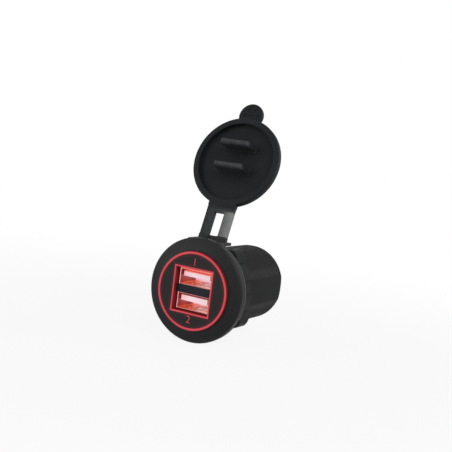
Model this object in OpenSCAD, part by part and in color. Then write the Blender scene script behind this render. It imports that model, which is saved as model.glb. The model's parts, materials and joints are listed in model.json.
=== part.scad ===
// Dual USB charging socket for a vehicle panel, with a nut behind and a rubber cover in front.
// Millimetres. The socket's axis is Y and its face looks toward -Y. The origin is on the axis,
// in the plane where the rubber collar meets the front of the panel.

/* [Housing] */
// Radius of the round front flange
flange_r = 18.5; // [17:0.1:20]
// Thickness of the flange at its outer edge
flange_edge = 1.0; // [0.6:0.1:1.6]
// Radius that rounds the flange's front edge
flange_round = 1.2; // [0.6:0.1:1.4]
// Rise of the sloping front from the rounded edge to the insert
flange_slope = 0.7; // [0.3:0.1:1.2]
// Radius of the barrel's plain neck in the panel, and of its thread's crests
barrel_r = 14.1; // [13.6:0.1:14.5]
// Depth of the barrel's thread
thread_depth = 0.25; // [0.2:0.05:0.4]
// Length of the barrel behind the panel plane
barrel_len = 37.9; // [34:0.1:44]
// Wall of the barrel
barrel_wall = 1.5; // [1.2:0.1:1.6]
// Width of the flat along each side of the barrel
flat_w = 10; // [7:0.5:10]
// Depth of the shoulder that the light guide rests on, behind the flange's front
guide_seat = 2.4; // [2:0.1:2.8]

/* [Front insert] */
// Radius of the light guide, whose rim shows as a glowing ring
guide_r = 13.8; // [13.3:0.1:14.2]
// Width of the glowing ring
ring_w = 0.85; // [0.7:0.05:1.2]
// Height of the insert above the flange's front
insert_rise = 1.1; // [0.6:0.1:1.4]
// Thickness of the black face plate inside the ring
face_t = 1.0; // [0.8:0.1:1.3]
// Width of the glowing frame line round the ports
frame_line = 0.55; // [0.45:0.05:0.8]
// Width of the opening inside the frame
window_w = 14.5; // [13.6:0.1:14.6]
// Height of the opening inside the frame
window_h = 15.3; // [14.6:0.1:15.4]

/* [USB ports] */
// Distance between the centres of the two ports
port_pitch = 8.6; // [8.3:0.1:8.8]
// Width of a port's opening
port_w = 12.5; // [12.3:0.05:12.6]
// Height of a port's opening
port_h = 5.12; // [5:0.02:5.2]
// Sheet thickness of a port's metal shell
shell_t = 0.3; // [0.2:0.05:0.35]
// Length of a port's metal shell
shell_len = 14; // [12:0.5:16]
// Depth of the shells' front edge below the face
shell_recess = 2.0; // [1.6:0.1:2.4]
// Thickness of the tongue in a port
tongue_t = 1.84; // [1.6:0.02:1.9]
// Width of the tongue in a port
tongue_w = 11.1; // [10.5:0.1:11.5]
// Space above the tongue
tongue_gap = 0.7; // [0.6:0.05:0.8]

/* [Circuit] */
// Thickness of the circuit boards
board_t = 1.6; // [1:0.2:1.8]
// Width of the main board
main_board_w = 18; // [16:0.5:20]
// Length of the main board
main_board_len = 27; // [26:0.5:28]
// Radius of the inductor
inductor_r = 4.8; // [4:0.1:5]
// Height of the inductor
inductor_h = 6.4; // [5:0.1:7]
// Radius of the input capacitor
input_cap_r = 4; // [3.5:0.1:4]
// Height of the input capacitor
input_cap_h = 7.6; // [6:0.1:8]
// Radius of the output capacitors
output_cap_r = 3.1; // [2.5:0.1:3.2]
// Height of the output capacitors
output_cap_h = 6.8; // [5:0.1:7]
// Width of a converter chip
chip_w = 3.9; // [3:0.1:4.5]
// Length of a converter chip
chip_len = 4.9; // [4:0.1:5.5]
// Height of a converter chip
chip_h = 1.5; // [1:0.1:2]
// Length of a diode across the board
diode_len = 4.3; // [3.5:0.1:5]
// Width of a diode along the board
diode_w = 2.6; // [2:0.1:2.8]
// Height of a diode
diode_h = 2.1; // [1.5:0.1:2.5]
// Width of a blade terminal
blade_w = 6.3; // [4.8:0.1:6.3]
// Thickness of a blade terminal
blade_t = 0.8; // [0.5:0.1:0.8]
// Length of a blade terminal outside the rear cover
blade_out = 9; // [7:0.5:12]
// Distance between the centres of the two terminals
blade_pitch = 10.4; // [10:0.1:11]
// Thickness of the rear cover
rear_cover_t = 2.2; // [1.6:0.1:3]

/* [Nut] */
// Radius of the nut over its lobes
nut_r = 18.1; // [17.6:0.1:18.1]
// Radius of the nut's ring between the lobes
nut_ring_r = 15.6; // [15.4:0.1:16]
// Length of the nut
nut_len = 7.2; // [5:0.1:9]
// Gap between the collar and the nut, where the panel goes
panel_gap = 2.6; // [2:0.1:4]
// Number of lobes round the nut
nut_lobes = 4; // [3:1:5]
// Radius of a lobe's rounded side
lobe_r = 3.4; // [3:0.1:3.6]
// Depth of the notches between the lobes
notch_depth = 0.8; // [0.4:0.1:0.8]
// Width of a notch
notch_w = 5; // [4:0.1:6]
// Play between the nut's bore and the barrel
nut_play = 0.3; // [0.2:0.05:0.4]

/* [Rubber cover] */
// Thickness of the collar between the flange and the panel
collar_t = 1.7; // [1.2:0.1:2.2]
// Radius of the collar
collar_r = 18.4; // [18.4:0.1:18.8]
// Thickness of the strap
strap_t = 2.0; // [1.4:0.1:2.2]
// Half width of the strap over its two legs
strap_half = 5.4; // [5:0.1:6]
// Half width of the slot between the legs
slot_half = 1.66; // [1.2:0.02:2]
// Length of the strap's lower half
strap_low_len = 5.4; // [5.2:0.1:5.6]
// Length of the strap's upper half
strap_up_len = 5.4; // [5.2:0.1:5.6]
// Length of the slot between the legs, from the strap's root
slot_len = 8.6; // [7.6:0.1:9.6]
// Angle that the open strap leans back
lean = 20; // [10:1:25]
// Radius of the cap
cap_r = 16.8; // [16.6:0.1:17.2]
// Thickness of the cap at its rim
cap_t = 3.0; // [2.6:0.1:3.4]
// Width of the cap's rim
rim_w = 2.2; // [1.8:0.1:2.4]
// Depth of the hollow inside the rim
hollow = 1.7; // [1.4:0.1:1.8]
// Length of the two plugs from the hollow's floor
plug_len = 6.5; // [5:0.1:7]
// Width of a plug
plug_w = 12; // [11:0.1:12]
// Thickness of a plug
plug_t = 1.6; // [1.4:0.1:1.6]
// Narrowing of a plug at each side from its foot to its tip
plug_taper = 0.5; // [0:0.1:0.8]
// Height of the step round a plug's foot
foot_h = 0.4; // [0.2:0.1:0.4]
// Radius of the pull tab
tab_r = 4.7; // [4:0.1:5.2]
// Distance from the cap's centre to the tab's centre
tab_out = 18.2; // [17:0.1:19]

/* [Hidden] */
$fn = 64;

// Play between fitted plastic parts
play = 0.05;
bore_r = barrel_r - barrel_wall;
core_r = barrel_r - thread_depth;
neck_len = panel_gap - 0.1;
flat_start = panel_gap + 0.3;
flat_x = sqrt(barrel_r * barrel_r - flat_w * flat_w / 4);
flange_back = -collar_t;
flange_edge_y = flange_back - flange_edge;
flange_front = flange_edge_y - flange_round - flange_slope;
face_y = flange_front - insert_rise;
guide_back = flange_front + guide_seat;
frame_w = window_w + 2 * frame_line;
frame_h = window_h + 2 * frame_line;
plate_r = guide_r - ring_w;
shell_w = port_w + 2 * shell_t;
shell_h = port_h + 2 * shell_t;
shell_front = face_y + shell_recess;
shell_back = shell_front + shell_len;
upper_z = port_pitch / 2;
lower_z = -port_pitch / 2;
tongue_z = port_h / 2 - tongue_gap - tongue_t / 2;
tongue_front = shell_front + 1;
free_below = port_h - tongue_gap - tongue_t;
plug_drop = port_h / 2 - free_below / 2;
block_len = 5.2;
block_back = guide_back + block_len;
light_board_y = block_back;
main_board_y = light_board_y + board_t + 0.3;
main_board_end = main_board_y + main_board_len;
contact_w = 1;
contact_t = 0.25;
contact_proud = 0.12;
emitter_x = 9.4;
emitter_z = 4.4;
emitter_w = 2;
emitter_t = 1;
rear_y = barrel_len - rear_cover_t;
inductor_y = shell_back + inductor_r + 0.6;
input_cap_y = inductor_y + inductor_r + input_cap_r + 0.6;
diode_y = inductor_y + inductor_r + 0.9;
output_cap_y = shell_back + output_cap_r + 0.8;
chip_y = output_cap_y + output_cap_r + 1.8;
blade_start = input_cap_y + input_cap_r + 0.3;
contact_places = [-3.5, -1, 1, 3.5];
cap_up = 0.5;
strap_y = 3.9;
strap_z = max(flange_r, collar_r) + 0.8;
ledge_z = strap_z - 1.7;
nut_end = panel_gap + nut_len;

// Stands a shape on the socket's axis at place y, its own Z toward the rear
module along_axis(y) {
    translate([0, y, 0])
        rotate([-90, 0, 0])
            children();
}

// Solid of revolution round the socket's axis, from points given as radius and place along Y
module turned(points) {
    rotate([-90, 0, 0])
        rotate_extrude()
            polygon(points);
}

// Box centred on X and Z that starts at y and runs back
module slab(w, len, h, x, y, z) {
    translate([x - w / 2, y, z - h / 2])
        cube([w, len, h]);
}

// Outline in Y and Z, carried along X between two places
module side_profile(points, x_from, x_to) {
    translate([x_from, 0, 0])
        rotate([90, 0, 90])
            linear_extrude(x_to - x_from)
                polygon(points);
}

// Carries children from the strap's own frame, X across, Y up the strap, Z toward the viewer,
// to the leaning strap, starting at its root fold
module on_strap(up = 0) {
    translate([0, strap_y, strap_z])
        rotate([90 - lean, 0, 0])
            translate([0, up, 0])
                children();
}

// Quarter circle of the flange's rounded front edge
function edge_arc(n) = [for (i = [0 : n])
    [flange_r - flange_round + flange_round * cos(90 * i / n),
     flange_edge_y - flange_round * sin(90 * i / n)]];

module housing() {
    color("#1c1c1e")
        difference() {
            union() {
                turned(concat([[bore_r, flange_back], [flange_r, flange_back]], edge_arc(8),
                              [[guide_r + play, flange_front], [guide_r + play, guide_back],
                               [bore_r, guide_back]]));
                difference() {
                    turned([[bore_r, flange_back - 0.01], [core_r, flange_back - 0.01],
                            [core_r, 0], [barrel_r, 0], [barrel_r, neck_len],
                            [core_r, neck_len], [core_r, barrel_len - 0.6],
                            [core_r - 0.6, barrel_len], [bore_r, barrel_len]]);
                    for (side = [-1, 1])
                        slab(2, barrel_len, flat_w + 1, side * (flat_x + 1), flat_start, 0);
                }
            }
        }
}

module light_guide() {
    color("#ff4a4a")
        difference() {
            along_axis(face_y)
                cylinder(r = guide_r, h = guide_back - face_y);
            difference() {
                along_axis(face_y - 1)
                    cylinder(r = plate_r, h = face_t + 1);
                slab(frame_w, face_t + 3, frame_h, 0, face_y - 2, 0);
            }
            slab(window_w, guide_back - face_y + 2, window_h, 0, face_y - 1, 0);
        }
}

module face_plate() {
    color("#202022")
        difference() {
            along_axis(face_y)
                cylinder(r = plate_r - play, h = face_t);
            slab(frame_w + 2 * play, face_t + 2, frame_h + 2 * play, 0, face_y - 1, 0);
        }
}

module port_block() {
    bar_y = face_y + 1.5;
    color("#262628")
        difference() {
            union() {
                along_axis(guide_back)
                    cylinder(r = bore_r - play, h = block_len);
                slab(window_w - 0.2, guide_back - bar_y + 0.1, port_pitch - shell_h - 0.1, 0, bar_y,
                     0);
            }
            for (z = [upper_z, lower_z])
                slab(shell_w + 0.1, block_back - face_y + 1, shell_h + 0.1, 0, face_y, z);
            for (x = [-emitter_x, emitter_x])
                for (z = [-emitter_z, emitter_z])
                    translate([x, guide_back - 1, z])
                        rotate([-90, 0, 0])
                            cylinder(r = emitter_w / 2 + 0.6, h = block_len + 2);
            slab(main_board_w + 0.4, 2, board_t + 0.2, 0, block_back - 1, 0);
        }
}

// Metal shell of one port, with two spring fingers cut from its floor
module port_shell(z) {
    finger_len = 6;
    finger_w = 2;
    color("#c9ccd0")
        translate([0, 0, z]) {
            difference() {
                slab(shell_w, shell_len, shell_h, 0, shell_front, 0);
                slab(port_w, shell_len - shell_t + 1, port_h, 0, shell_front - 1, 0);
                for (side = [-1, 1])
                    slab(finger_w + 0.6, finger_len + 0.6, 2 * shell_t, side * 3,
                         shell_front + 2.4, -shell_h / 2 + shell_t / 2);
            }
            for (side = [-1, 1]) {
                slab(finger_w, finger_len + 0.3, shell_t, side * 3, shell_front + 2.7,
                     -shell_h / 2 + shell_t / 2);
                slab(1.2, 1, 0.18, side * 3, shell_front + 3.2, -port_h / 2 + 0.09);
            }
            for (side = [-1, 1])
                slab(0.4, 2, upper_z - shell_h / 2 - board_t / 2, side * (shell_w / 2 - 0.2),
                     shell_back - 3, z > 0 ? -shell_h / 2 - (upper_z - shell_h / 2 - board_t / 2) / 2
                                           : shell_h / 2 + (upper_z - shell_h / 2 - board_t / 2) / 2);
        }
}

module upper_port_shell() {
    port_shell(upper_z);
}

module lower_port_shell() {
    port_shell(lower_z);
}

// White moulding of one port: the tongue and the block that carries it
module port_tongue(z) {
    base_len = 3;
    color("#f4ecec")
        translate([0, 0, z])
            difference() {
                union() {
                    slab(tongue_w, shell_back - tongue_front - shell_t, tongue_t, 0, tongue_front,
                         tongue_z);
                    slab(port_w, base_len, port_h, 0, shell_back - shell_t - base_len, 0);
                }
                for (x = contact_places)
                    slab(contact_w, shell_len, contact_t, x, tongue_front + 0.8,
                         tongue_z - tongue_t / 2 + contact_t / 2 - contact_proud);
            }
}

module upper_port_tongue() {
    port_tongue(upper_z);
}

module lower_port_tongue() {
    port_tongue(lower_z);
}

// Four spring contacts under one tongue
module port_contacts(z) {
    color("#d9b45a")
        for (x = contact_places)
            slab(contact_w, shell_back - shell_t - tongue_front - 0.8, contact_t, x,
                 tongue_front + 0.8, z + tongue_z - tongue_t / 2 + contact_t / 2 - contact_proud);
}

module upper_port_contacts() {
    port_contacts(upper_z);
}

module lower_port_contacts() {
    port_contacts(lower_z);
}

module light_board() {
    color("#1f5a36")
        difference() {
            along_axis(light_board_y)
                cylinder(r = bore_r - 0.3, h = board_t);
            for (z = [upper_z, lower_z])
                slab(shell_w + 0.4, board_t + 2, shell_h + 0.4, 0, light_board_y - 1, z);
        }
}

module light_emitters() {
    color("#ff6a60")
        for (x = [-emitter_x, emitter_x])
            for (z = [-emitter_z, emitter_z])
                slab(emitter_w, emitter_t, emitter_w, x, light_board_y - emitter_t, z);
}

module main_board() {
    color("#1f5a36")
        slab(main_board_w, main_board_len, board_t, 0, main_board_y, 0);
}

module inductor_core() {
    flange_h = 1.4;
    color("#3a3a3c")
        translate([0, inductor_y, board_t / 2]) {
            cylinder(r = inductor_r, h = flange_h);
            cylinder(r = inductor_r * 0.45, h = inductor_h);
            translate([0, 0, inductor_h - flange_h])
                cylinder(r = inductor_r, h = flange_h);
        }
}

module inductor_winding() {
    flange_h = 1.4;
    color("#b06a35")
        translate([0, inductor_y, board_t / 2 + flange_h])
            difference() {
                cylinder(r = inductor_r - 0.5, h = inductor_h - 2 * flange_h);
                translate([0, 0, -1])
                    cylinder(r = inductor_r * 0.45, h = inductor_h);
            }
}

// Capacitor can with its crimp groove, standing on a board face
module capacitor(r, h) {
    cylinder(r = r, h = 1);
    cylinder(r = r - 0.3, h = 2);
    translate([0, 0, 1.6])
        cylinder(r = r, h = h - 1.6);
}

module input_capacitor() {
    color("#2f3f8a")
        translate([-3.4, input_cap_y, board_t / 2])
            capacitor(input_cap_r, input_cap_h);
}

module output_capacitors() {
    color("#2f3f8a")
        for (side = [-1, 1])
            translate([side * (output_cap_r + 0.6), output_cap_y, -board_t / 2])
                rotate([180, 0, 0])
                    capacitor(output_cap_r, output_cap_h);
}

module converter_chips() {
    chip_gap = 4.5;
    color("#303033")
        for (side = [-1, 1])
            slab(chip_w, chip_len, chip_h, side * (chip_w + chip_gap) / 2, chip_y,
                 -board_t / 2 - chip_h / 2);
}

module rectifier_diodes() {
    diode_gap = 0.8;
    diode_x = 5;
    color("#303033")
        for (y = [diode_y, diode_y + diode_w + diode_gap])
            slab(diode_len, diode_w, diode_h, diode_x, y, board_t / 2 + diode_h / 2);
}

module rear_cover() {
    boss = 1.2;
    color("#1c1c1e")
        difference() {
            union() {
                along_axis(rear_y)
                    cylinder(r = bore_r - play, h = rear_cover_t);
                for (side = [-1, 1])
                    slab(blade_w + 2.4, rear_cover_t + boss, blade_t + 2.4,
                         side * blade_pitch / 2, rear_y, (board_t + blade_t) / 2);
            }
            for (side = [-1, 1])
                slab(blade_w, rear_cover_t + boss + 2, blade_t, side * blade_pitch / 2, rear_y - 1,
                     (board_t + blade_t) / 2);
            slab(main_board_w + 0.2, main_board_len + 0.2, board_t + 0.2, 0, main_board_y, 0);
        }
}

// Blade terminal that lies on the main board and leaves through the rear cover
module blade(x) {
    start_y = blade_start;
    end_y = barrel_len + blade_out;
    color("#cfa95a")
        translate([x, 0, board_t / 2])
            difference() {
                linear_extrude(blade_t)
                    polygon([[-blade_w / 2, start_y], [blade_w / 2, start_y],
                             [blade_w / 2, end_y - 1.2], [blade_w / 2 - 1.2, end_y],
                             [-blade_w / 2 + 1.2, end_y], [-blade_w / 2, end_y - 1.2]]);
                translate([0, end_y - 3, -1])
                    cylinder(r = 0.85, h = blade_t + 2);
            }
}

module positive_terminal() {
    blade(-blade_pitch / 2);
}

module negative_terminal() {
    blade(blade_pitch / 2);
}

// Outline of the nut: a thin ring with rounded lobes for the fingers, and notches between them
module nut_outline() {
    first_lobe = 56;
    pitch = 360 / nut_lobes;
    difference() {
        union() {
            circle(nut_ring_r);
            for (i = [0 : nut_lobes - 1])
                rotate(-first_lobe - i * pitch)
                    translate([nut_r - lobe_r, 0])
                        circle(lobe_r);
        }
        circle(barrel_r + nut_play);
        for (i = [0 : nut_lobes - 1])
            rotate(-first_lobe - (i + 0.5) * pitch)
                translate([nut_ring_r - notch_depth, -notch_w / 2])
                    square([2 * notch_depth, notch_w]);
    }
}

module retaining_nut() {
    chamfer = 0.6;
    color("#1c1c1e")
        intersection() {
            along_axis(panel_gap)
                linear_extrude(nut_len)
                    nut_outline();
            turned([[0, panel_gap], [nut_r - chamfer, panel_gap], [nut_r, panel_gap + chamfer],
                    [nut_r, nut_end - chamfer], [nut_r - chamfer, nut_end], [0, nut_end]]);
        }
}

// Rubber ring under the flange, with a lug at its top that carries the strap
module cover_collar() {
    collar_bore = barrel_r + play;
    lug_half = 7.2;
    lug_low = ledge_z - 1;
    lug_front = -0.3;
    lug_back = strap_y + 1.4;
    lug_r = strap_z - 0.4;
    riser_low = collar_r - 1;
    ledge_y = strap_y - (strap_z - ledge_z) * tan(lean);
    back_y = strap_y + strap_t * cos(lean);
    back_z = strap_z - strap_t * sin(lean);
    bar_set_back = 0.6;
    color("#2a2a2c") {
        difference() {
            union() {
                turned([[collar_bore, -collar_t], [collar_r - 0.3, -collar_t],
                        [collar_r, 0.3 - collar_t], [collar_r, -0.3], [collar_r - 0.3, 0],
                        [collar_bore, 0]]);
                intersection() {
                    side_profile([[lug_front, lug_low], [lug_front, ledge_z], [lug_back, ledge_z],
                                  [lug_back, lug_low]], -lug_half, lug_half);
                    along_axis(lug_front - 1)
                        cylinder(r = lug_r, h = lug_back - lug_front + 2);
                }
                side_profile([[-collar_t, riser_low], [-collar_t, ledge_z], [0, ledge_z],
                              [0, riser_low]], -slot_half, slot_half);
                side_profile([[ledge_y, ledge_z - 0.5], [ledge_y, ledge_z], [strap_y, strap_z],
                              [back_y, back_z], [lug_back, ledge_z], [lug_back, ledge_z - 0.5]],
                             -strap_half, strap_half);
            }
            side_profile([[ledge_y - 1, ledge_z], [strap_y - 1, strap_z + 1],
                          [strap_y + bar_set_back, strap_z + 1],
                          [strap_y + bar_set_back, strap_z - 0.2],
                          [ledge_y + bar_set_back, ledge_z]],
                         -slot_half, slot_half);
        }
    }
}

module cover_strap_lower() {
    color("#2a2a2c")
        for (side = [-1, 1])
            on_strap()
                translate([side > 0 ? slot_half : -strap_half, 0, -strap_t])
                    cube([strap_half - slot_half, strap_low_len, strap_t]);
}

module cover_strap_upper() {
    slot_top = slot_len - strap_low_len;
    color("#2a2a2c")
        on_strap(strap_low_len)
            difference() {
                translate([-strap_half, 0, -strap_t])
                    cube([2 * strap_half, strap_up_len, strap_t]);
                translate([-slot_half, -1, -strap_t - 1])
                    cube([2 * slot_half, slot_top + 1, strap_t + 2]);
            }
}

// Half section of the cap, radius across and thickness up, its rim's front at 0
module cap_section() {
    front_round = 0.5;
    back_round = 0.9;
    difference() {
        union() {
            translate([0, -front_round])
                square([cap_r - front_round, front_round]);
            translate([cap_r - front_round, -front_round])
                circle(front_round, $fn = 12);
            translate([0, back_round - cap_t])
                square([cap_r, cap_t - front_round - back_round]);
            translate([0, -cap_t])
                square([cap_r - back_round, back_round]);
            translate([cap_r - back_round, back_round - cap_t])
                circle(back_round, $fn = 12);
        }
        translate([-1, -hollow])
            square([cap_r - rim_w + 1, hollow + 1]);
    }
}

// Half section of the pull tab, set back from the rim's front
module tab_section() {
    edge = 0.5;
    tab_front = -1;
    tab_back = -cap_t;
    translate([0, tab_back])
        square([tab_r - edge, tab_front - tab_back]);
    translate([0, tab_back + edge])
        square([tab_r, tab_front - tab_back - 2 * edge]);
    for (z = [tab_back + edge, tab_front - edge])
        translate([tab_r - edge, z])
            circle(edge, $fn = 12);
}

// Plug for one port, standing on the hollow's floor, narrower toward its tip
module plug() {
    tip_edge = 0.35;
    foot_edge = 0.6;
    tip = plug_w / 2 - plug_taper;
    translate([-plug_w / 2 - foot_edge, -plug_t / 2 - foot_edge, -0.01])
        cube([plug_w + 2 * foot_edge, plug_t + 2 * foot_edge, foot_h]);
    intersection() {
        translate([0, plug_t / 2, 0])
            rotate([90, 0, 0])
                linear_extrude(plug_t)
                    polygon([[-plug_w / 2, -0.01], [plug_w / 2, -0.01], [plug_w / 2, foot_h],
                             [tip, plug_len - tip_edge], [tip - tip_edge, plug_len],
                             [tip_edge - tip, plug_len], [-tip, plug_len - tip_edge],
                             [-plug_w / 2, foot_h]]);
        side_profile([[-plug_t / 2, -0.02], [plug_t / 2, -0.02], [plug_t / 2, plug_len - tip_edge],
                      [plug_t / 2 - tip_edge, plug_len], [tip_edge - plug_t / 2, plug_len],
                      [-plug_t / 2, plug_len - tip_edge]], -plug_w, plug_w);
    }
}

module cover_cap() {
    neck = cap_r + cap_up;
    dot_r = 0.45;
    dot_ring = 2.5;
    color("#2a2a2c")
        on_strap(strap_low_len + strap_up_len)
            translate([0, neck, 0]) {
                difference() {
                    union() {
                        rotate_extrude()
                            cap_section();
                        translate([0, tab_out, 0])
                            rotate_extrude()
                                tab_section();
                        translate([-strap_half, -neck, -strap_t])
                            cube([2 * strap_half, 3, strap_t]);
                    }
                    translate([0, 0, -hollow])
                        cylinder(r = cap_r - rim_w, h = hollow + 1);
                }
                for (side = [-1, 1])
                    translate([0, side * port_pitch / 2 + plug_drop, -hollow])
                        plug();
                translate([0, tab_out + 0.4, -1.3]) {
                    cylinder(r = dot_r, h = 0.6);
                    for (i = [0 : 5])
                        rotate([0, 0, 60 * i])
                            translate([dot_ring, 0, 0])
                                cylinder(r = dot_r, h = 0.6);
                }
            }
}

housing();
light_guide();
face_plate();
port_block();
upper_port_shell();
lower_port_shell();
upper_port_tongue();
lower_port_tongue();
upper_port_contacts();
lower_port_contacts();
light_board();
light_emitters();
main_board();
inductor_core();
inductor_winding();
input_capacitor();
output_capacitors();
converter_chips();
rectifier_diodes();
rear_cover();
positive_terminal();
negative_terminal();
retaining_nut();
cover_collar();
cover_strap_lower();
cover_strap_upper();
cover_cap();
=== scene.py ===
import json
import math

import bmesh
import bpy
from mathutils import Matrix, Vector


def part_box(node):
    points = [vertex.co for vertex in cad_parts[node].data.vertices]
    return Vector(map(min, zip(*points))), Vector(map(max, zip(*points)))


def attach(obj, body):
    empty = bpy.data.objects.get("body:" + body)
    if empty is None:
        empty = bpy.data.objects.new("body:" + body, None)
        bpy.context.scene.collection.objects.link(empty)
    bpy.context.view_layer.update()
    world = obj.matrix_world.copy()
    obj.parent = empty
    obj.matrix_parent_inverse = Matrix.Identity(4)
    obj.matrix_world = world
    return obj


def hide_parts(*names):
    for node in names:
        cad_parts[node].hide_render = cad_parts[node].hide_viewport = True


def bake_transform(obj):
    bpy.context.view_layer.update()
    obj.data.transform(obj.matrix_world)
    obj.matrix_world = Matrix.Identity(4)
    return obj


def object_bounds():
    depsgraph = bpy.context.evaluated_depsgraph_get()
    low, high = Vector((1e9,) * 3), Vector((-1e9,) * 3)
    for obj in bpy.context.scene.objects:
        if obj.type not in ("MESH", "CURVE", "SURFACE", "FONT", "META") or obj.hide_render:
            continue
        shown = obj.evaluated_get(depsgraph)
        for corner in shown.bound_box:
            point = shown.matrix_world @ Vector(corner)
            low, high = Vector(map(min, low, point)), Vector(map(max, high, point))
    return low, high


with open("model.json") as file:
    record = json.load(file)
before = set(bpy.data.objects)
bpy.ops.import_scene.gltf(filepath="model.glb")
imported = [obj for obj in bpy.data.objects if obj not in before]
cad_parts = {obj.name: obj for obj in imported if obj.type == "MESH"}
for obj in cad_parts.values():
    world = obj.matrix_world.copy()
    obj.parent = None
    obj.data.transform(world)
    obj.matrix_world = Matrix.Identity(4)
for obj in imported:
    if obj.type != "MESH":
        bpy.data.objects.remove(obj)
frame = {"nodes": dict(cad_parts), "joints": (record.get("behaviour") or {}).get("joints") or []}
cad_low, cad_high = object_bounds()
MM = 0.001
FRAME_HALF_WIDTH = 7.8 * MM
FRAME_HALF_HEIGHT = 8.2 * MM

# Sizes that come from the frame
guide_low, guide_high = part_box("light_guide")
barrel_low, barrel_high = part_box("housing")
plate_low, plate_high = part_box("face_plate")
plate_r = plate_high.x
shell_low, shell_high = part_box("upper_port_shell")
upper_tongue_top = shell_high.z - 1.0 * MM
face_y = guide_low.y
guide_r = guide_high.x
barrel_end = barrel_high.y
JOINTS = {j["name"]: j for j in frame["joints"]}
fold_points = [Vector(JOINTS[n]["pos_m"]) for n in ("strap_root_fold", "strap_middle_fold", "cap_fold")]
strap_up = (fold_points[1] - fold_points[0]).normalized()
strap_out = Vector((0.0, -strap_up.z, strap_up.y))
strap_across = Vector((1.0, 0.0, 0.0))


# Node materials
def new_material(name):
    material = bpy.data.materials.new(name)
    material.use_nodes = True
    tree = material.node_tree
    shader = tree.nodes["Principled BSDF"]
    return material, tree, shader


def add(tree, kind, inputs=None, **settings):
    """One node, with its settings, and its inputs given as values or as sockets of other nodes."""
    made = tree.nodes.new(kind)
    for key, value in settings.items():
        setattr(made, key, value)
    for key, value in (inputs or {}).items():
        put(tree, made.inputs[key], value)
    return made


def put(tree, socket, value):
    if isinstance(value, bpy.types.NodeSocket):
        tree.links.new(value, socket)
    else:
        socket.default_value = value


def rgba(colour):
    return (colour[0], colour[1], colour[2], 1.0)


def object_place(tree):
    return add(tree, "ShaderNodeTexCoord").outputs["Object"]


def noise(tree, place, scale, detail=3.0, rough=0.5):
    return add(tree, "ShaderNodeTexNoise", {"Vector": place, "Scale": scale, "Detail": detail, "Roughness": rough})


def ramp(tree, factor, stops):
    """Colour ramp from (place, colour) stops."""
    made = add(tree, "ShaderNodeValToRGB", {"Fac": factor})
    elements = made.color_ramp.elements
    while len(elements) < len(stops):
        elements.new(0.5)
    for element, (place, colour) in zip(elements, stops):
        element.position = place
        element.color = rgba(colour)
    return made.outputs["Color"]


def spread(tree, value, low, high, to_low, to_high, smooth=False):
    kind = "SMOOTHSTEP" if smooth else "LINEAR"
    made = add(tree, "ShaderNodeMapRange", {"Value": value, "From Min": low, "From Max": high, "To Min": to_low, "To Max": to_high}, interpolation_type=kind)
    return made.outputs["Result"]


def math_node(tree, operation, a, b=0.5):
    made = tree.nodes.new("ShaderNodeMath")
    made.operation = operation
    put(tree, made.inputs[0], a)
    put(tree, made.inputs[1], b)
    return made.outputs["Value"]


def bump(tree, height, distance, strength, edge=0.0):
    made = add(tree, "ShaderNodeBump", {"Height": height, "Distance": distance, "Strength": strength})
    if edge:
        rounded = add(tree, "ShaderNodeBevel", {"Radius": edge}, samples=6)
        tree.links.new(rounded.outputs["Normal"], made.inputs["Normal"])
    return made.outputs["Normal"]


def moulded(name, dark, light, rough_low, rough_high, grain, depth, edge, sheen=0.0, shine=0.2):
    """Moulded plastic or rubber: cloudy colour, fine grain and paler worn edges."""
    material, tree, shader = new_material(name)
    place = object_place(tree)
    cloud = noise(tree, place, 140.0, 4.0, 0.6).outputs["Fac"]
    fine = noise(tree, place, grain, 2.0, 0.5).outputs["Fac"]
    worn = add(tree, "ShaderNodeNewGeometry").outputs["Pointiness"]
    colour = ramp(tree, cloud, [(0.3, dark), (0.7, light)])
    edge_share = spread(tree, worn, 0.5, 0.62, 0.0, 0.3)
    paler = add(tree, "ShaderNodeMix", {"Factor": edge_share}, data_type="RGBA")
    put(tree, paler.inputs[6], colour)
    put(tree, paler.inputs[7], rgba([min(1.0, c * 2.2 + 0.01) for c in light]))
    put(tree, shader.inputs["Base Color"], paler.outputs[2])
    put(tree, shader.inputs["Roughness"], spread(tree, fine, 0.3, 0.7, rough_low, rough_high))
    put(tree, shader.inputs["Normal"], bump(tree, fine, depth, 0.5, edge))
    shader.inputs["Specular IOR Level"].default_value = shine
    if sheen:
        shader.inputs["Sheen Weight"].default_value = sheen
        shader.inputs["Sheen Roughness"].default_value = 0.45
    return material


def lit_face():
    """Black face plate, reddened by the light beside the ring and the frame."""
    material = moulded("face_plastic", (0.0085, 0.0072, 0.0074), (0.0120, 0.0094, 0.0096), 0.4, 0.5, 6400.0, 0.00002, 0.0001, shine=0.14)
    tree = material.node_tree
    shader = tree.nodes["Principled BSDF"]
    parts = add(tree, "ShaderNodeSeparateXYZ", {"Vector": object_place(tree)})
    x, z = parts.outputs["X"], parts.outputs["Z"]
    radius = math_node(tree, "SQRT", math_node(tree, "ADD", math_node(tree, "POWER", x, 2.0), math_node(tree, "POWER", z, 2.0)))
    near_ring = spread(tree, radius, plate_r - 1.3 * MM, plate_r, 0.0, 1.0, True)
    off_x = math_node(tree, "SUBTRACT", math_node(tree, "ABSOLUTE", x), FRAME_HALF_WIDTH)
    off_z = math_node(tree, "SUBTRACT", math_node(tree, "ABSOLUTE", z), FRAME_HALF_HEIGHT)
    near_frame = spread(tree, math_node(tree, "MAXIMUM", off_x, off_z), 0.0, 1.2 * MM, 1.0, 0.0, True)
    glow = math_node(tree, "MAXIMUM", near_ring, near_frame)
    shader.inputs["Emission Color"].default_value = (0.9, 0.04, 0.07, 1.0)
    put(tree, shader.inputs["Emission Strength"], math_node(tree, "MULTIPLY", glow, 0.035))
    return material


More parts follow.
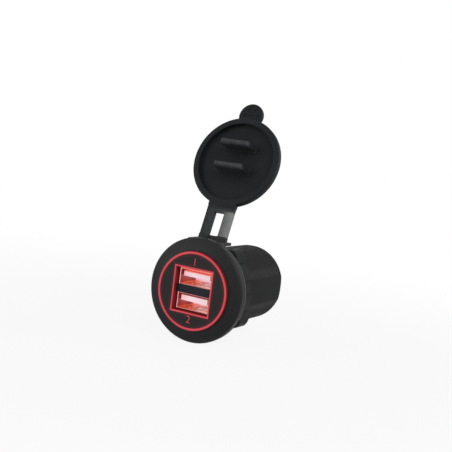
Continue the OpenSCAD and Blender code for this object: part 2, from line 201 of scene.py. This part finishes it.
def housing_plastic():
    """Plastic of the housing, duller on the barrel than on the flange."""
    material = moulded("housing_plastic", (0.0072, 0.0076, 0.0080), (0.0098, 0.0102, 0.0106), 0.42, 0.55, 5200.0, 0.00003, 0.00018)
    tree = material.node_tree
    shader = tree.nodes["Principled BSDF"]
    depth = add(tree, "ShaderNodeSeparateXYZ", {"Vector": object_place(tree)}).outputs["Y"]
    put(tree, shader.inputs["Specular IOR Level"], spread(tree, depth, 0.0, 1.0 * MM, 0.17, 0.04, True))
    return material


def collar_rubber():
    """Rubber of the collar, with a painted highlight: a thin pale line round its rear edge."""
    material = moulded("collar_rubber", (0.0056, 0.0060, 0.0066), (0.0080, 0.0086, 0.0092), 0.48, 0.6, 3600.0, 0.00004, 0.00025, sheen=0.03, shine=0.2)
    tree = material.node_tree
    shader = tree.nodes["Principled BSDF"]
    place = object_place(tree)
    depth = add(tree, "ShaderNodeSeparateXYZ", {"Vector": place}).outputs["Y"]
    begins = spread(tree, depth, -0.6 * MM, -0.4 * MM, 0.0, 1.0, True)
    ends = spread(tree, depth, -0.12 * MM, 0.02 * MM, 1.0, 0.0, True)
    uneven = noise(tree, place, 90.0, 2.0, 0.5).outputs["Fac"]
    line = math_node(tree, "MULTIPLY", math_node(tree, "MULTIPLY", begins, ends), spread(tree, uneven, 0.35, 0.65, 0.3, 1.0))
    # Painted highlight: base colour paled to 0.12 grey in a thin, uneven band round the rear edge.
    before = shader.inputs["Base Color"].links[0].from_socket
    painted_highlight = add(tree, "ShaderNodeMix", {"Factor": line}, data_type="RGBA")
    put(tree, painted_highlight.inputs[6], before)
    put(tree, painted_highlight.inputs[7], rgba((0.12, 0.12, 0.12)))
    put(tree, shader.inputs["Base Color"], painted_highlight.outputs[2])
    return material


def cap_rubber():
    """Rubber of the cap, with a painted highlight that makes the tips of its plugs paler."""
    material = moulded("cap_rubber", (0.0052, 0.0064, 0.0070), (0.0076, 0.0090, 0.0098), 0.5, 0.64, 3600.0, 0.00004, 0.00025, sheen=0.03, shine=0.12)
    tree = material.node_tree
    shader = tree.nodes["Principled BSDF"]
    place = object_place(tree)
    outward = add(tree, "ShaderNodeVectorMath", {0: place, 1: tuple(strap_out)}, operation="DOT_PRODUCT").outputs["Value"]
    level = fold_points[0].dot(strap_out)
    tips = spread(tree, outward, level + 2.6 * MM, level + 3.8 * MM, 0.0, 0.9, True)
    uneven = noise(tree, place, 420.0, 3.0, 0.5).outputs["Fac"]
    share = math_node(tree, "MULTIPLY", tips, spread(tree, uneven, 0.3, 0.7, 0.6, 1.1))
    # Painted highlight: base colour paled toward 0.05 grey on the plug tips, far out along strap_out.
    before = shader.inputs["Base Color"].links[0].from_socket
    painted_tip_highlight = add(tree, "ShaderNodeMix", {"Factor": share}, data_type="RGBA")
    put(tree, painted_tip_highlight.inputs[6], before)
    put(tree, painted_tip_highlight.inputs[7], rgba((0.048, 0.049, 0.054)))
    put(tree, shader.inputs["Base Color"], painted_tip_highlight.outputs[2])
    return material


def strap_rubber():
    """Rubber of the strap, with a painted reflection that makes it paler toward its right leg and its foot, laid out in
    strap_across and strap_along.
    """
    material, tree, shader = new_material("strap_rubber")
    place = add(tree, "ShaderNodeTexCoord").outputs["UV"]
    parts = add(tree, "ShaderNodeSeparateXYZ", {"Vector": place})
    # Painted reflection: base colour paler toward the right leg and the foot, darkest near the cap.
    across = spread(tree, parts.outputs["X"], -1.0, 1.0, 0.0, 1.0)
    cloud = noise(tree, place, 1.6, 4.0, 0.6).outputs["Fac"]
    uneven = math_node(tree, "ADD", across, spread(tree, cloud, 0.3, 0.7, -0.06, 0.06))
    share = math_node(tree, "MULTIPLY", uneven, spread(tree, parts.outputs["Y"], 1.58, 1.92, 1.0, 0.0, True))
    painted_reflection = ramp(tree, share, [(0.0, (0.006, 0.0075, 0.0083)), (0.18, (0.022, 0.024, 0.026)), (0.5, (0.034, 0.036, 0.037)), (0.66, (0.085, 0.087, 0.088)), (0.95, (0.19, 0.19, 0.19))])
    put(tree, shader.inputs["Base Color"], painted_reflection)
    fine = noise(tree, place, 22.0, 2.0, 0.5).outputs["Fac"]
    put(tree, shader.inputs["Roughness"], spread(tree, fine, 0.3, 0.7, 0.55, 0.68))
    put(tree, shader.inputs["Normal"], bump(tree, fine, 0.00003, 0.4))
    shader.inputs["Specular IOR Level"].default_value = 0.2
    return material


def glowing(name, side_colour, front_colour, side_strength, front_strength):
    """Translucent red plastic lit from behind: bright on faces that look forward, dim on its sides."""
    material, tree, shader = new_material(name)
    coordinates = add(tree, "ShaderNodeTexCoord")
    place = coordinates.outputs["Object"]
    facing = add(tree, "ShaderNodeSeparateXYZ", {"Vector": coordinates.outputs["Normal"]}).outputs["Y"]
    front = spread(tree, facing, -0.55, -0.9, 0.0, 1.0, True)
    uneven = noise(tree, place, 160.0, 2.0, 0.5).outputs["Fac"]
    colour = add(tree, "ShaderNodeMix", {"Factor": front}, data_type="RGBA")
    put(tree, colour.inputs[6], rgba(side_colour))
    bright = ramp(tree, uneven, [(0.3, [c * 0.82 for c in front_colour]), (0.75, [min(1.0, c * 1.12) for c in front_colour])])
    put(tree, colour.inputs[7], bright)
    put(tree, shader.inputs["Emission Color"], colour.outputs[2])
    put(tree, shader.inputs["Emission Strength"], spread(tree, front, 0.0, 1.0, side_strength, front_strength))
    shader.inputs["Base Color"].default_value = (0.16, 0.012, 0.014, 1.0)
    put(tree, shader.inputs["Roughness"], spread(tree, uneven, 0.3, 0.7, 0.4, 0.5))
    shader.inputs["Specular IOR Level"].default_value = 0.2
    return material


def lit_guide():
    """The light guide's red, dimmer along the outer edge of the ring."""
    material = glowing("light_plastic", (0.028, 0.001, 0.002), (0.5, 0.05, 0.07), 1.0, 1.0)
    tree = material.node_tree
    shader = tree.nodes["Principled BSDF"]
    parts = add(tree, "ShaderNodeSeparateXYZ", {"Vector": object_place(tree)})
    x, z = parts.outputs["X"], parts.outputs["Z"]
    radius = math_node(tree, "SQRT", math_node(tree, "ADD", math_node(tree, "POWER", x, 2.0), math_node(tree, "POWER", z, 2.0)))
    dimmer = spread(tree, radius, guide_r - 0.26 * MM, guide_r - 0.1 * MM, 1.0, 0.35, True)
    before = shader.inputs["Emission Strength"].links[0].from_socket
    put(tree, shader.inputs["Emission Strength"], math_node(tree, "MULTIPLY", before, dimmer))
    return material


def blend_colour(tree, share, low, high):
    """Mix of two colours, each given as numbers or as a socket."""
    mixed = add(tree, "ShaderNodeMix", {"Factor": share}, data_type="RGBA")
    for index, colour in ((6, low), (7, high)):
        put(tree, mixed.inputs[index], colour if isinstance(colour, bpy.types.NodeSocket) else rgba(colour))
    return mixed.outputs[2]


def lit_shell():
    """Plated port shell that mirrors the red light: patchy floor, bright side edges, red top edge."""
    material, tree, shader = new_material("shell_metal")
    coordinates = add(tree, "ShaderNodeTexCoord")
    place = coordinates.outputs["Object"]
    normal = add(tree, "ShaderNodeSeparateXYZ", {"Vector": coordinates.outputs["Normal"]})
    parts = add(tree, "ShaderNodeSeparateXYZ", {"Vector": place})
    x, z = parts.outputs["X"], parts.outputs["Z"]
    stretched = add(tree, "ShaderNodeMapping", {"Vector": place, "Scale": (1.0, 0.06, 1.0)}).outputs["Vector"]
    lines = noise(tree, stretched, 2600.0, 3.0, 0.6).outputs["Fac"]
    slanted = add(tree, "ShaderNodeMapping", {"Vector": place, "Rotation": (0.0, 0.0, 0.6), "Scale": (1.0, 0.35, 0.2)}).outputs["Vector"]
    patches = noise(tree, slanted, 620.0, 2.0, 0.5).outputs["Fac"]
    wobble = spread(tree, patches, 0.3, 0.7, -0.0022, 0.0022)
    shifted = math_node(tree, "ADD", x, wobble)
    across = spread(tree, shifted, -0.0066, 0.0066, 0.0, 1.0)
    floor_glow = ramp(tree, across, [(0.0, (0.62, 0.1, 0.035)), (0.2, (0.42, 0.035, 0.012)), (0.34, (0.7, 0.13, 0.05)), (0.47, (0.1, 0.008, 0.005)), (0.6, (0.5, 0.2, 0.17)), (0.8, (0.66, 0.42, 0.38)), (1.0, (0.5, 0.12, 0.07))])
    inside = blend_colour(tree, spread(tree, normal.outputs["Z"], 0.4, 0.8, 0.0, 1.0), (0.16, 0.008, 0.006), floor_glow)
    side = spread(tree, math_node(tree, "ABSOLUTE", x), 0.0061, 0.0063, 0.0, 1.0)
    top = spread(tree, z, 0.0062, 0.0066, 0.0, 1.0)
    level_edge = blend_colour(tree, top, (0.3, 0.03, 0.03), (0.78, 0.1, 0.05))
    edge_glow = blend_colour(tree, side, level_edge, (0.85, 0.5, 0.5))
    glow = blend_colour(tree, spread(tree, normal.outputs["Y"], -0.5, -0.85, 0.0, 1.0), inside, edge_glow)
    put(tree, shader.inputs["Emission Color"], glow)
    shader.inputs["Emission Strength"].default_value = 0.85
    put(tree, shader.inputs["Base Color"], ramp(tree, patches, [(0.35, (0.34, 0.2, 0.19)), (0.65, (0.24, 0.12, 0.11))]))
    put(tree, shader.inputs["Roughness"], spread(tree, lines, 0.3, 0.7, 0.25, 0.4))
    put(tree, shader.inputs["Normal"], bump(tree, lines, 0.00002, 0.3))
    shader.inputs["Metallic"].default_value = 1.0
    return material


def lit_tongue():
    """White tongue under painted red light: washed pink on its front and orange red on the top of the upper one, with
    painted shade at the right end of its front and on the top of the lower one.
    """
    material, tree, shader = new_material("tongue_plastic")
    coordinates = add(tree, "ShaderNodeTexCoord")
    place = coordinates.outputs["Object"]
    normal = add(tree, "ShaderNodeSeparateXYZ", {"Vector": coordinates.outputs["Normal"]})
    parts = add(tree, "ShaderNodeSeparateXYZ", {"Vector": place})
    cloud = noise(tree, place, 420.0, 3.0, 0.5).outputs["Fac"]
    across = spread(tree, parts.outputs["X"], -0.006, 0.006, 0.0, 1.0)
    # Painted light on the front: pink, with a pale yellow line and then painted shade at its right end, and an orange
    # red band just under the upper tongue's top.
    front_glow = ramp(tree, across, [(0.0, (0.8, 0.46, 0.49)), (0.3, (0.88, 0.62, 0.66)), (0.86, (0.8, 0.58, 0.63)), (0.9, (0.9, 0.72, 0.5)), (0.935, (0.3, 0.03, 0.02))])
    upper = spread(tree, parts.outputs["Z"], -0.0005, 0.0005, 0.0, 1.0)
    washed = spread(tree, parts.outputs["Z"], upper_tongue_top - 0.42 * MM, upper_tongue_top - 0.26 * MM, 0.0, 0.9, True)
    front_glow = blend_colour(tree, washed, front_glow, (0.8, 0.13, 0.08))
    # Painted light on the top of the upper tongue; painted shade on the top of the lower one and on its other faces.
    top_glow = blend_colour(tree, upper, (0.12, 0.008, 0.006), (0.75, 0.08, 0.045))
    inside = blend_colour(tree, spread(tree, normal.outputs["Z"], 0.4, 0.8, 0.0, 1.0), (0.1, 0.006, 0.005), top_glow)
    glow = blend_colour(tree, spread(tree, normal.outputs["Y"], -0.5, -0.85, 0.0, 1.0), inside, front_glow)
    put(tree, shader.inputs["Emission Color"], glow)
    shader.inputs["Emission Strength"].default_value = 0.8
    put(tree, shader.inputs["Base Color"], ramp(tree, cloud, [(0.3, (0.3, 0.22, 0.23)), (0.7, (0.4, 0.32, 0.33))]))
    put(tree, shader.inputs["Roughness"], spread(tree, cloud, 0.3, 0.7, 0.4, 0.52))
    put(tree, shader.inputs["Normal"], bump(tree, cloud, 0.00002, 0.2))
    shader.inputs["Specular IOR Level"].default_value = 0.25
    return material


def metal(name, tint, other, rough_low, rough_high):
    """Plated sheet metal with fine drawing lines."""
    material, tree, shader = new_material(name)
    place = object_place(tree)
    stretched = add(tree, "ShaderNodeMapping", {"Vector": place, "Scale": (1.0, 0.06, 1.0)}).outputs["Vector"]
    lines = noise(tree, stretched, 2600.0, 3.0, 0.6).outputs["Fac"]
    patch = noise(tree, place, 330.0, 2.0, 0.5).outputs["Fac"]
    put(tree, shader.inputs["Base Color"], ramp(tree, patch, [(0.35, tint), (0.65, other)]))
    put(tree, shader.inputs["Roughness"], spread(tree, lines, 0.3, 0.7, rough_low, rough_high))
    put(tree, shader.inputs["Normal"], bump(tree, lines, 0.00002, 0.3, 0.00008))
    shader.inputs["Metallic"].default_value = 1.0
    return material


def board_material():
    """Green solder mask with copper tracks and a weave under it."""
    material, tree, shader = new_material("circuit_board")
    place = object_place(tree)
    cells = add(tree, "ShaderNodeTexVoronoi", {"Vector": place, "Scale": 420.0}, feature="DISTANCE_TO_EDGE", distance="MANHATTAN")
    tracks = spread(tree, cells.outputs["Distance"], 0.06, 0.1, 1.0, 0.0)
    cloud = noise(tree, place, 900.0, 2.0, 0.5).outputs["Fac"]
    colour = add(tree, "ShaderNodeMix", {"Factor": tracks}, data_type="RGBA")
    put(tree, colour.inputs[6], ramp(tree, cloud, [(0.3, (0.01, 0.075, 0.03)), (0.7, (0.014, 0.1, 0.04))]))
    put(tree, colour.inputs[7], rgba((0.03, 0.17, 0.07)))
    put(tree, shader.inputs["Base Color"], colour.outputs[2])
    put(tree, shader.inputs["Roughness"], spread(tree, cloud, 0.3, 0.7, 0.3, 0.42))
    put(tree, shader.inputs["Normal"], bump(tree, tracks, 0.00003, 0.6))
    return material


def wire_material():
    """Copper wire wound round the inductor."""
    material, tree, shader = new_material("wound_wire")
    place = object_place(tree)
    wave = add(tree, "ShaderNodeTexWave", {"Vector": place, "Scale": 1400.0}, bands_direction="Z", wave_profile="SIN").outputs["Fac"]
    put(tree, shader.inputs["Base Color"], ramp(tree, wave, [(0.1, (0.16, 0.045, 0.015)), (0.8, (0.5, 0.2, 0.08))]))
    put(tree, shader.inputs["Roughness"], spread(tree, wave, 0.0, 1.0, 0.45, 0.28))
    put(tree, shader.inputs["Normal"], bump(tree, wave, 0.0001, 0.8))
    shader.inputs["Metallic"].default_value = 0.9
    return material


housing_mat = housing_plastic()
thread_mat = moulded("thread_plastic", (0.0050, 0.0050, 0.0054), (0.0070, 0.0070, 0.0074), 0.38, 0.5, 5200.0, 0.00002, 0.0, shine=0.1)
face_mat = lit_face()
block_mat = moulded("block_plastic", (0.0080, 0.0095, 0.0130), (0.012, 0.014, 0.019), 0.4, 0.5, 5200.0, 0.00002, 0.0001, shine=0.1)
nut_mat = moulded("nut_plastic", (0.0040, 0.0045, 0.0048), (0.0058, 0.0062, 0.0066), 0.45, 0.6, 4200.0, 0.00004, 0.00025, shine=0.07)
chip_mat = moulded("chip_plastic", (0.012, 0.012, 0.013), (0.018, 0.018, 0.02), 0.45, 0.6, 7000.0, 0.00002, 0.0001)
ferrite_mat = moulded("ferrite", (0.018, 0.018, 0.02), (0.03, 0.03, 0.032), 0.5, 0.7, 5000.0, 0.00004, 0.0002)
rubber_mat = moulded("cover_rubber", (0.0052, 0.0062, 0.0068), (0.0076, 0.0088, 0.0096), 0.5, 0.64, 3600.0, 0.00004, 0.00025, sheen=0.03, shine=0.12)
cap_mat = cap_rubber()
collar_mat = collar_rubber()
strap_mat = strap_rubber()
light_mat = lit_guide()
mark_mat = glowing("lit_marks", (0.1, 0.006, 0.008), (0.34, 0.04, 0.05), 0.6, 0.9)
emitter_mat = glowing("emitter_red", (0.8, 0.03, 0.02), (0.95, 0.08, 0.05), 0.8, 1.0)
shell_mat = lit_shell()
brass_mat = metal("brass", (0.62, 0.46, 0.19), (0.7, 0.55, 0.26), 0.22, 0.36)
gold_mat = metal("contact_gold", (0.5, 0.22, 0.1), (0.6, 0.3, 0.14), 0.25, 0.4)
can_mat = metal("can_sleeve", (0.03, 0.05, 0.2), (0.04, 0.065, 0.25), 0.3, 0.42)
tongue_mat = lit_tongue()
board_mat = board_material()
wire_mat = wire_material()

NODE_MATERIALS = {
    "housing": housing_mat, "light_guide": light_mat, "face_plate": face_mat, "port_block": block_mat,
    "upper_port_shell": shell_mat, "lower_port_shell": shell_mat, "upper_port_tongue": tongue_mat,
    "lower_port_tongue": tongue_mat, "upper_port_contacts": gold_mat, "lower_port_contacts": gold_mat,
    "light_board": board_mat, "light_emitters": emitter_mat, "main_board": board_mat,
    "inductor_core": ferrite_mat, "inductor_winding": wire_mat, "input_capacitor": can_mat,
    "output_capacitors": can_mat, "converter_chips": chip_mat, "rectifier_diodes": chip_mat,
    "rear_cover": housing_mat, "positive_terminal": brass_mat, "negative_terminal": brass_mat,
    "retaining_nut": nut_mat, "cover_collar": collar_mat, "cover_strap_lower": rubber_mat,
    "cover_strap_upper": rubber_mat, "cover_cap": cap_mat,
}
for node_name, node_material in NODE_MATERIALS.items():
    node_object = frame["nodes"][node_name]
    node_object.data.materials.clear()
    node_object.data.materials.append(node_material)


# Pieces made here
def finish_piece(name, mesh_bm, material, smooth_angle=40):
    """Turns a bmesh into an object with a material."""
    bmesh.ops.recalc_face_normals(mesh_bm, faces=mesh_bm.faces)
    for edge in mesh_bm.edges:
        sharp = len(edge.link_faces) != 2 or edge.calc_face_angle(math.pi) > math.radians(smooth_angle)
        edge.smooth = not sharp
    for face in mesh_bm.faces:
        face.smooth = True
    data = bpy.data.meshes.new(name)
    mesh_bm.to_mesh(data)
    mesh_bm.free()
    data.materials.append(material)
    piece = bpy.data.objects.new(name, data)
    bpy.context.scene.collection.objects.link(piece)
    return piece


def tube(mesh_bm, rings):
    """Closed solid through rings of points, all with as many points."""
    made = [[mesh_bm.verts.new(p) for p in ring] for ring in rings]
    count = len(made[0])
    for low, high in zip(made, made[1:]):
        for i in range(count):
            j = (i + 1) % count
            mesh_bm.faces.new((low[i], low[j], high[j], high[i]))
    mesh_bm.faces.new(tuple(reversed(made[0])))
    mesh_bm.faces.new(tuple(made[-1]))


# Thread on the round stretches of the barrel
THREAD_PITCH = 1.75 * MM
THREAD_DEPTH = 0.24 * MM
THREAD_FOOT = 0.05 * MM
CORE_R = 13.85 * MM
FLAT_HALF = 4.9 * MM
THREAD_START = 3.2 * MM
THREAD_STEPS = 44


def thread_piece():
    made = bmesh.new()
    flat_angle = math.asin(FLAT_HALF / CORE_R)
    turns = int((barrel_end - 0.8 * MM - THREAD_START) / THREAD_PITCH)
    for turn in range(turns):
        for half in (0, 1):
            rings = []
            for step in range(THREAD_STEPS + 1):
                share = step / THREAD_STEPS
                angle = math.pi * half + flat_angle + (math.pi - 2 * flat_angle) * share
                y = THREAD_START + THREAD_PITCH * (turn + angle / (2 * math.pi))
                rise = THREAD_DEPTH * min(1.0, 9.0 * share, 9.0 * (1 - share)) + 0.01 * MM
                ring = []
                for across, up in ((-0.42, 0.0), (-0.08, 1.0), (0.08, 1.0), (0.42, 0.0)):
                    r = CORE_R + (rise if up else -THREAD_FOOT)
                    ring.append(Vector((r * math.cos(angle), y + across * THREAD_PITCH, r * math.sin(angle))))
                rings.append(ring)
            tube(made, rings)
    piece = finish_piece("barrel_thread", made, thread_mat, 25)
    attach(piece, "root")
    return piece


thread_piece()

# Rubber strap, in three pieces split halfway between its three folds
LOWER_LENGTH = (fold_points[1] - fold_points[0]).length
UPPER_LENGTH = (fold_points[2] - fold_points[1]).length
upper_low, upper_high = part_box("cover_strap_upper")
STRAP_HALF = upper_high.x
SLOT_HALF = 1.9 * MM
SLOT_LENGTH = 8.6 * MM
STRAP_THICK = 2.0 * MM
EDGE_R = 0.4 * MM


def strap_point(across, along, out):
    return fold_points[0] + strap_across * across + strap_up * along + strap_out * out


def strap_section(x_low, x_high, along, inset=0.0):
    """Rounded rectangle across the strap, its front face at depth 0."""
    points = []
    r = EDGE_R
    corners = [(x_high - r, -r, 0), (x_low + r, -r, 90), (x_low + r, -STRAP_THICK + r, 180), (x_high - r, -STRAP_THICK + r, 270)]
    for cx, cy, start in corners:
        for k in range(5):
            a = math.radians(start + 22.5 * k)
            points.append(strap_point(cx + (r - inset) * math.cos(a), along, cy + (r - inset) * math.sin(a)))
    return points


def strap_bar(mesh_bm, x_low, x_high, low, high, steps):
    tube(mesh_bm, [strap_section(x_low, x_high, low + (high - low) * i / steps) for i in range(steps + 1)])


def strap_legs(mesh_bm, low, high, steps):
    for x_low, x_high in ((-STRAP_HALF, -SLOT_HALF), (SLOT_HALF, STRAP_HALF)):
        strap_bar(mesh_bm, x_low, x_high, low, high, steps)


def strap_piece(name, mesh_bm):
    """Finished strap piece whose UV map runs across and along the strap, in half widths."""
    layer = mesh_bm.loops.layers.uv.new("strap_map")
    for face in mesh_bm.faces:
        for loop in face.loops:
            offset = loop.vert.co - fold_points[0]
            loop[layer].uv = (offset.dot(strap_across) / STRAP_HALF, offset.dot(strap_up) / STRAP_HALF)
    return finish_piece(name, mesh_bm, strap_mat)


mid_lower = LOWER_LENGTH / 2
mid_upper = LOWER_LENGTH + UPPER_LENGTH / 2

root_bm = bmesh.new()
strap_legs(root_bm, 0.0, mid_lower, 14)
strap_root = strap_piece("strap_root_bend", root_bm)
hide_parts("cover_strap_lower")
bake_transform(strap_root)

middle_bm = bmesh.new()
strap_legs(middle_bm, mid_lower, mid_upper, 20)
strap_middle = strap_piece("strap_middle_bend", middle_bm)
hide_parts("cover_strap_lower", "cover_strap_upper")
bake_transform(strap_middle)

top_bm = bmesh.new()
top_end = LOWER_LENGTH + UPPER_LENGTH
strap_legs(top_bm, mid_upper, SLOT_LENGTH, 4)
strap_bar(top_bm, -STRAP_HALF, STRAP_HALF, SLOT_LENGTH, top_end, 14)
strap_top = strap_piece("strap_top_bend", top_bm)
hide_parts("cover_strap_upper")
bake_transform(strap_top)

# Plain port numbers in the places of the marks
MARK_HEIGHT = 2.7 * MM
MARK_PROUD = 0.03 * MM


def numeral(name, text, x, z):
    curve = bpy.data.curves.new(name, "FONT")
    curve.body = text
    curve.size = MARK_HEIGHT * 1.4
    curve.extrude = MARK_PROUD
    curve.align_x = "CENTER"
    curve.align_y = "CENTER"
    curve.resolution_u = 6
    source = bpy.data.objects.new(name + "_curve", curve)
    bpy.context.scene.collection.objects.link(source)
    bpy.context.view_layer.update()
    data = bpy.data.meshes.new_from_object(source)
    bpy.data.objects.remove(source)
    data.transform(Matrix.Translation((x, face_y, z)) @ Matrix.Rotation(math.radians(90), 4, "X"))
    data.name = name
    data.materials.clear()
    data.materials.append(mark_mat)
    piece = bpy.data.objects.new(name, data)
    bpy.context.scene.collection.objects.link(piece)
    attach(piece, "root")
    return piece


numeral("upper_port_number", "1", 0.0, 10.1 * MM)
numeral("lower_port_number", "2", 0.0, -10.1 * MM)

# Camera at the photograph's angle
PHOTO = 452
CAMERA = {"azimuth": 29.07, "elevation": 7.218, "roll": 7.196, "distance": 304.2 * MM, "focal": 851.6, "cx": 218.43, "cy": 246.29}
target = Vector((0.0, 9.3 * MM, 15.0 * MM))
a, e, roll = (math.radians(CAMERA[k]) for k in ("azimuth", "elevation", "roll"))
back = Vector((math.sin(a) * math.cos(e), -math.cos(a) * math.cos(e), math.sin(e)))
right = Vector((math.cos(a), math.sin(a), 0.0))
up = back.cross(right)
view_right = right * math.cos(roll) + up * math.sin(roll)
view_up = up * math.cos(roll) - right * math.sin(roll)
camera_data = bpy.data.cameras.new("photo_camera")
camera = bpy.data.objects.new("photo_camera", camera_data)
bpy.context.scene.collection.objects.link(camera)
turn = Matrix((view_right, view_up, back)).transposed().to_4x4()
camera.matrix_world = Matrix.Translation(target + back * CAMERA["distance"]) @ turn
camera_data.sensor_width = 36.0
camera_data.lens = CAMERA["focal"] / PHOTO * 36.0
camera_data.shift_x = (PHOTO / 2 - CAMERA["cx"]) / PHOTO
camera_data.shift_y = (CAMERA["cy"] - PHOTO / 2) / PHOTO
camera_data.clip_start = 0.01
camera_data.clip_end = 20.0
bpy.context.scene.camera = camera


# Light, floor and backdrop
def softbox(name, place, aim, size, energy, colour=(1.0, 1.0, 1.0)):
    data = bpy.data.lights.new(name, "AREA")
    data.shape = "SQUARE"
    data.size = size
    data.energy = energy
    data.color = colour
    lamp = bpy.data.objects.new(name, data)
    lamp.location = place
    lamp.rotation_mode = "QUATERNION"
    lamp.rotation_quaternion = (Vector(aim) - Vector(place)).to_track_quat("-Z", "Y")
    bpy.context.scene.collection.objects.link(lamp)
    return lamp


centre = (0.0, 0.01, 0.02)
softbox("key_softbox", (0.42, -0.22, 0.42), centre, 0.36, 2.1)
softbox("left_softbox", (-0.4, -0.45, 0.12), centre, 0.4, 1.2)
softbox("back_softbox", (0.4, 0.3, 0.25), centre, 0.25, 0.5)


def white_where_seen(tree, lit, strength=1.0):
    """White for the camera and for reflections, and something else for the light that falls on the object."""
    path = add(tree, "ShaderNodeLightPath")
    seen = math_node(tree, "MAXIMUM", path.outputs["Is Camera Ray"], path.outputs["Is Transmission Ray"])
    seen = math_node(tree, "MAXIMUM", seen, path.outputs["Is Glossy Ray"])
    white = add(tree, "ShaderNodeEmission" if lit.node.type != "BACKGROUND" else "ShaderNodeBackground")
    white.inputs["Color"].default_value = (1.0, 1.0, 1.0, 1.0)
    white.inputs["Strength"].default_value = strength
    mixed = add(tree, "ShaderNodeMixShader")
    put(tree, mixed.inputs[0], seen)
    tree.links.new(lit, mixed.inputs[1])
    tree.links.new(white.outputs[0], mixed.inputs[2])
    return mixed.outputs[0]


world = bpy.data.worlds.new("studio")
bpy.context.scene.world = world
world.use_nodes = True
world_tree = world.node_tree
room = world_tree.nodes["Background"]
room.inputs["Color"].default_value = (1.0, 1.0, 1.0, 1.0)
room.inputs["Strength"].default_value = 0.5
world_tree.links.new(white_where_seen(world_tree, room.outputs[0]), world_tree.nodes["World Output"].inputs["Surface"])

floor_mat = bpy.data.materials.new("pale_floor")
floor_mat.use_nodes = True
floor_tree = floor_mat.node_tree
floor_shader = floor_tree.nodes["Principled BSDF"]
floor_shader.inputs["Base Color"].default_value = (0.42, 0.42, 0.42, 1.0)
floor_shader.inputs["Roughness"].default_value = 0.9
floor_path = add(floor_tree, "ShaderNodeLightPath")
floor_white = add(floor_tree, "ShaderNodeEmission", {"Color": (1.0, 1.0, 1.0, 1.0), "Strength": 1.0})
floor_mix = add(floor_tree, "ShaderNodeMixShader")
floor_reach = add(floor_tree, "ShaderNodeVectorMath", {0: object_place(floor_tree)}, operation="LENGTH").outputs["Value"]
floor_fade = spread(floor_tree, floor_reach, 0.05, 0.28, 0.9, 1.0, True)
floor_seen = math_node(floor_tree, "MAXIMUM", floor_path.outputs["Is Camera Ray"], floor_path.outputs["Is Glossy Ray"])
put(floor_tree, floor_mix.inputs[0], math_node(floor_tree, "MULTIPLY", floor_seen, floor_fade))
floor_tree.links.new(floor_shader.outputs[0], floor_mix.inputs[1])
floor_tree.links.new(floor_white.outputs[0], floor_mix.inputs[2])
floor_tree.links.new(floor_mix.outputs[0], floor_tree.nodes["Material Output"].inputs["Surface"])

floor_bm = bmesh.new()
FLOOR_HALF = 6.0
floor_z = cad_low.z - 0.02 * MM
bmesh.ops.create_grid(floor_bm, x_segments=4, y_segments=4, size=FLOOR_HALF)
floor_data = bpy.data.meshes.new("floor")
floor_bm.to_mesh(floor_data)
floor_bm.free()
floor_data.materials.append(floor_mat)
floor = bpy.data.objects.new("floor", floor_data)
floor.location = (0.0, 0.0, floor_z)
bpy.context.scene.collection.objects.link(floor)

bpy.context.scene.view_settings.view_transform = "Standard"

bpy.context.view_layer.update()
